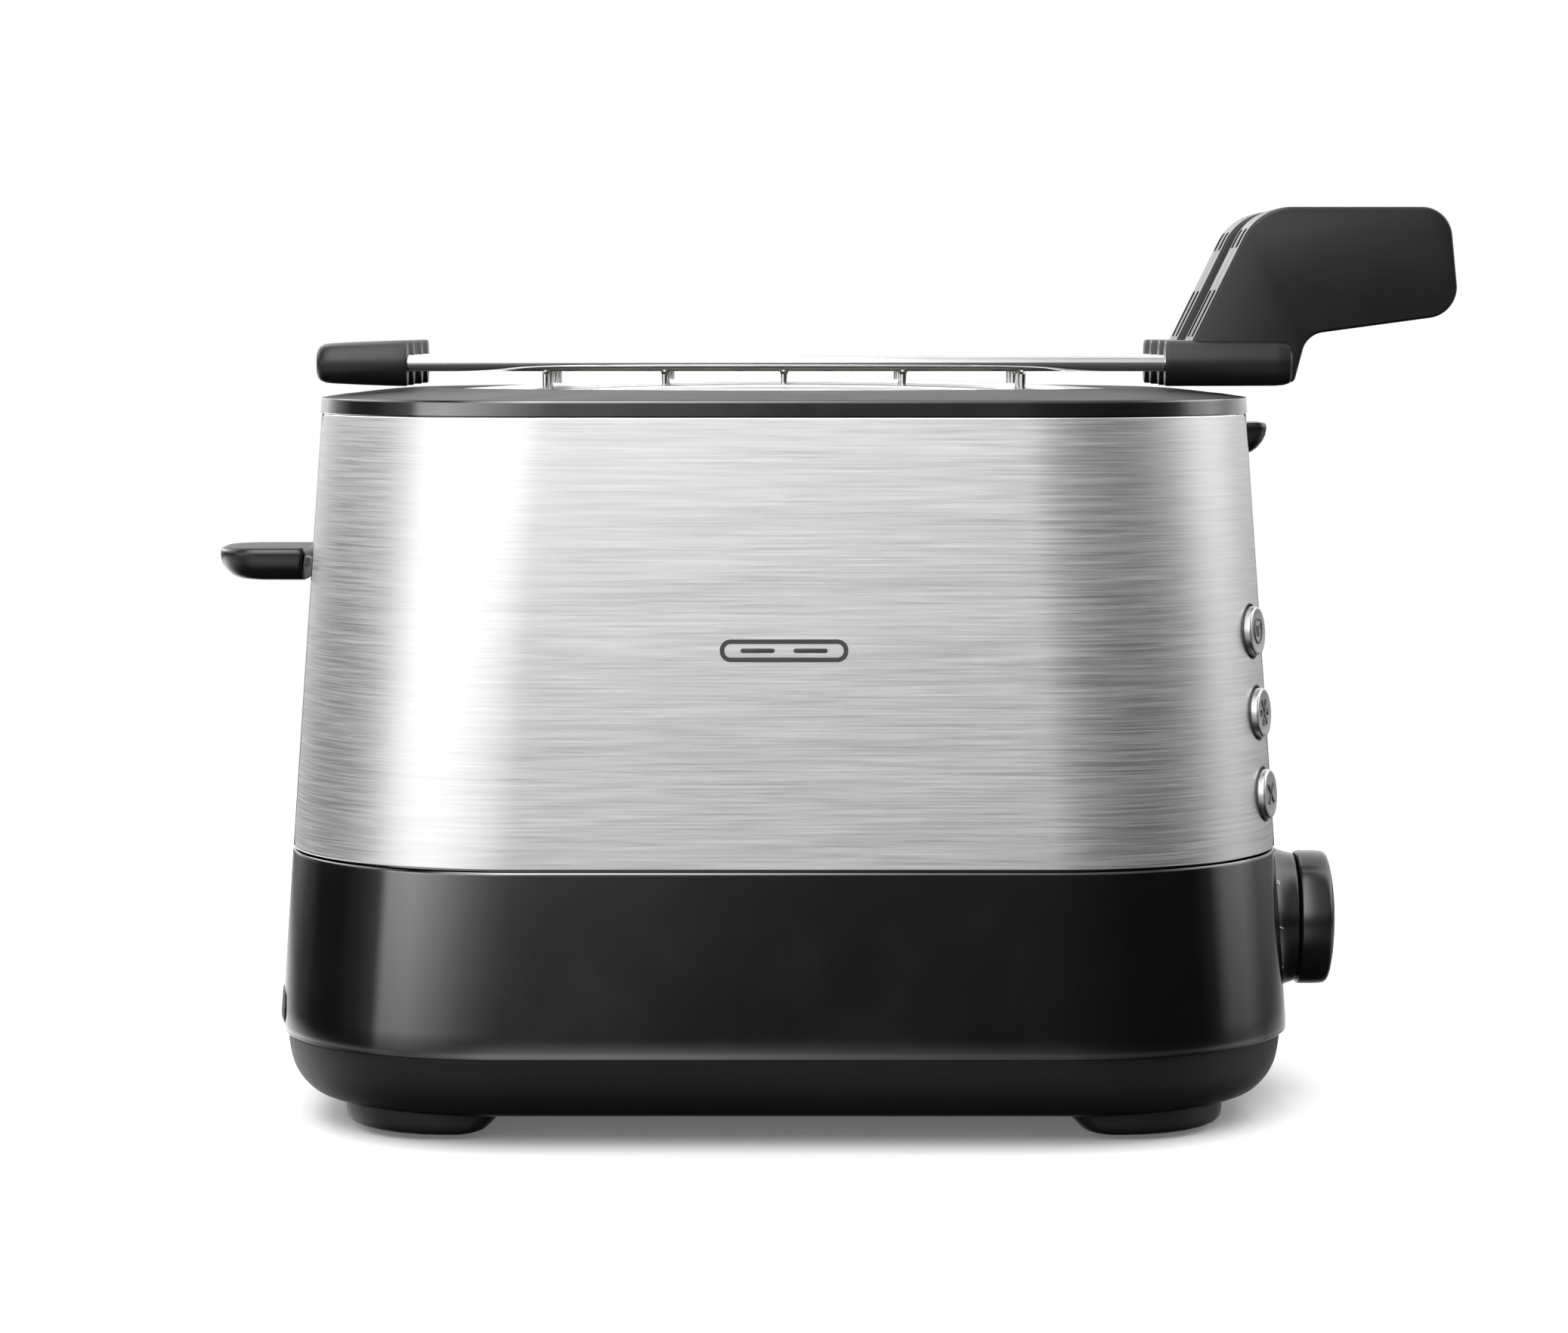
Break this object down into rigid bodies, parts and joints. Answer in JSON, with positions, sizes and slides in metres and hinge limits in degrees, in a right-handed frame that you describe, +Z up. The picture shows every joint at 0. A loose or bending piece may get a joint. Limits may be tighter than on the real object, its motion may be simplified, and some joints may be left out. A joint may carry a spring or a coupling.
{
  "type": "pop up toaster",
  "caption": "Pop-up toaster with wide slots, lift-out sandwich cages, a raising bun rack, a browning knob, push buttons and a pull-out crumb tray.",
  "frame": {"origin": "middle of the plane that the rubber feet stand on, under the middle of the body", "axes": "+Z up, +X along the body to the browning knob, -Y the front"},
  "size_m": [0.3465, 0.1884, 0.2524],
  "materials": {
    "base_plastic": "matte textured",
    "rubber": "matte",
    "plated_steel": "zinc plated",
    "gloss_black": "gloss",
    "brushed_steel": "brushed along the body",
    "rim_plastic": "fine grained",
    "deck_steel": "satin",
    "badge_grey": "satin",
    "reflector_sheet": "bright",
    "mica": "matte",
    "heater_wire": "dull",
    "chrome_wire": "polished",
    "magnet_iron": "satin",
    "circuit_board": "satin",
    "part_plastic": "matte",
    "key_metal": "satin",
    "bun_lever_black": "gloss",
    "grip_plastic": "satin"
  },
  "bodies": {
    "root": {"base_tray": "base_plastic", "rubber_feet": "rubber", "base_screws": "plated_steel", "lower_housing": "gloss_black", "steel_wrap_front": "brushed_steel", "steel_wrap_rear": "brushed_steel", "left_end_cover": "gloss_black", "right_end_cover": "gloss_black", "top_rim": "rim_plastic", "top_deck": "deck_steel", "front_mark": "badge_grey", "dial_bezel": "gloss_black", "button_rings": "rim_plastic", "cord_grommet": "rubber", "end_plate_left": "plated_steel", "end_plate_right": "plated_steel", "reflector_front": "reflector_sheet", "reflector_rear": "reflector_sheet", "heater_card_front": "mica", "heater_card_centre": "mica", "heater_card_rear": "mica", "heater_ribbon_front": "heater_wire", "heater_ribbon_centre": "heater_wire", "heater_ribbon_rear": "heater_wire", "bread_guides_front": "chrome_wire", "bread_guides_rear": "chrome_wire", "guide_rods": "chrome_wire", "latch_magnet": "magnet_iron", "control_board": "circuit_board", "browning_control": "part_plastic", "button_board": "circuit_board", "bun_guide_rod": "chrome_wire"},
    "crumb_tray": {"crumb_tray_pan": "plated_steel", "crumb_tray_front": "base_plastic"},
    "carriage": {"carriage_bracket": "plated_steel", "lifter_front": "plated_steel", "lifter_rear": "plated_steel", "lever_handle": "gloss_black", "return_spring": "plated_steel"},
    "knob": {"browning_knob": "gloss_black", "knob_shaft": "plated_steel"},
    "reheat_key": {"button_reheat": "key_metal"},
    "defrost_key": {"button_defrost": "key_metal"},
    "cancel_key": {"button_cancel": "key_metal"},
    "bun_lever": {"bun_lever": "bun_lever_black"},
    "bun_rack": {"bun_rack": "chrome_wire"},
    "bun_rocker": {"bun_rocker": "plated_steel"},
    "front_cage": {"front_cage_frame": "chrome_wire", "front_cage_cap": "grip_plastic", "front_cage_handle": "grip_plastic"},
    "front_flap": {"front_flap_frame": "chrome_wire", "front_flap_cap": "grip_plastic", "front_flap_handle": "grip_plastic"},
    "rear_cage": {"rear_cage_frame": "chrome_wire", "rear_cage_cap": "grip_plastic", "rear_cage_handle": "grip_plastic"},
    "rear_flap": {"rear_flap_frame": "chrome_wire", "rear_flap_cap": "grip_plastic", "rear_flap_handle": "grip_plastic"}
  },
  "joints": [
    {"name": "bread_lever_slide", "type": "slide", "parent": "root", "child": "carriage", "axis": [0, 0, -1], "range_m": [0, 0.045], "stiffness_N_per_m": 60, "springref_m": -0.1},
    {"name": "front_cage_lift", "type": "slide", "parent": "root", "child": "front_cage", "axis": [0, 0, 1], "range_m": [0, 0.15]},
    {"name": "rear_cage_lift", "type": "slide", "parent": "root", "child": "rear_cage", "axis": [0, 0, 1], "range_m": [0, 0.15]},
    {"name": "front_cage_open", "type": "hinge", "parent": "front_cage", "child": "front_flap", "pos_m": [0, -0.032, 0.111], "axis": [1, 0, 0], "range_deg": [0, 2.3]},
    {"name": "rear_cage_open", "type": "hinge", "parent": "rear_cage", "child": "rear_flap", "pos_m": [0, 0.032, 0.111], "axis": [-1, 0, 0], "range_deg": [0, 2.3]},
    {"name": "crumb_tray_slide", "type": "slide", "parent": "root", "child": "crumb_tray", "axis": [-1, 0, 0], "range_m": [0, 0.2]},
    {"name": "browning_turn", "type": "hinge", "parent": "root", "child": "knob", "pos_m": [0.15, 0, 0.0498], "axis": [1, 0, 0], "range_deg": [-135, 135]},
    {"name": "reheat_press", "type": "slide", "parent": "root", "child": "reheat_key", "axis": [-0.9156, 0.396, -0.0701], "range_m": [0, 0.0012], "stiffness_N_per_m": 400, "springref_m": -0.003},
    {"name": "defrost_press", "type": "slide", "parent": "root", "child": "defrost_key", "axis": [-0.923, 0.3785, -0.0701], "range_m": [0, 0.0012], "stiffness_N_per_m": 400, "springref_m": -0.003},
    {"name": "cancel_press", "type": "slide", "parent": "root", "child": "cancel_key", "axis": [-0.93, 0.3609, -0.0701], "range_m": [0, 0.0012], "stiffness_N_per_m": 400, "springref_m": -0.003},
    {"name": "bun_lever_slide", "type": "slide", "parent": "root", "child": "bun_lever", "axis": [0.0701, 0, -0.9975], "range_m": [0, 0.02]},
    {"name": "bun_rack_slide", "type": "slide", "parent": "root", "child": "bun_rack", "axis": [0, 0, 1], "range_m": [0, 0.0281]},
    {"name": "bun_rocker_turn", "type": "hinge", "parent": "root", "child": "bun_rocker", "pos_m": [0.095, 0, 0.172], "axis": [1, 0, 0], "range_deg": [0, 43.65]}
  ],
  "couplings": [
    {"joint": "bun_rack_slide", "follows": "bun_lever_slide", "ratio": 1.4},
    {"joint": "bun_rocker_turn", "follows": "bun_lever_slide", "rad_per_m": 38.051}
  ]
}
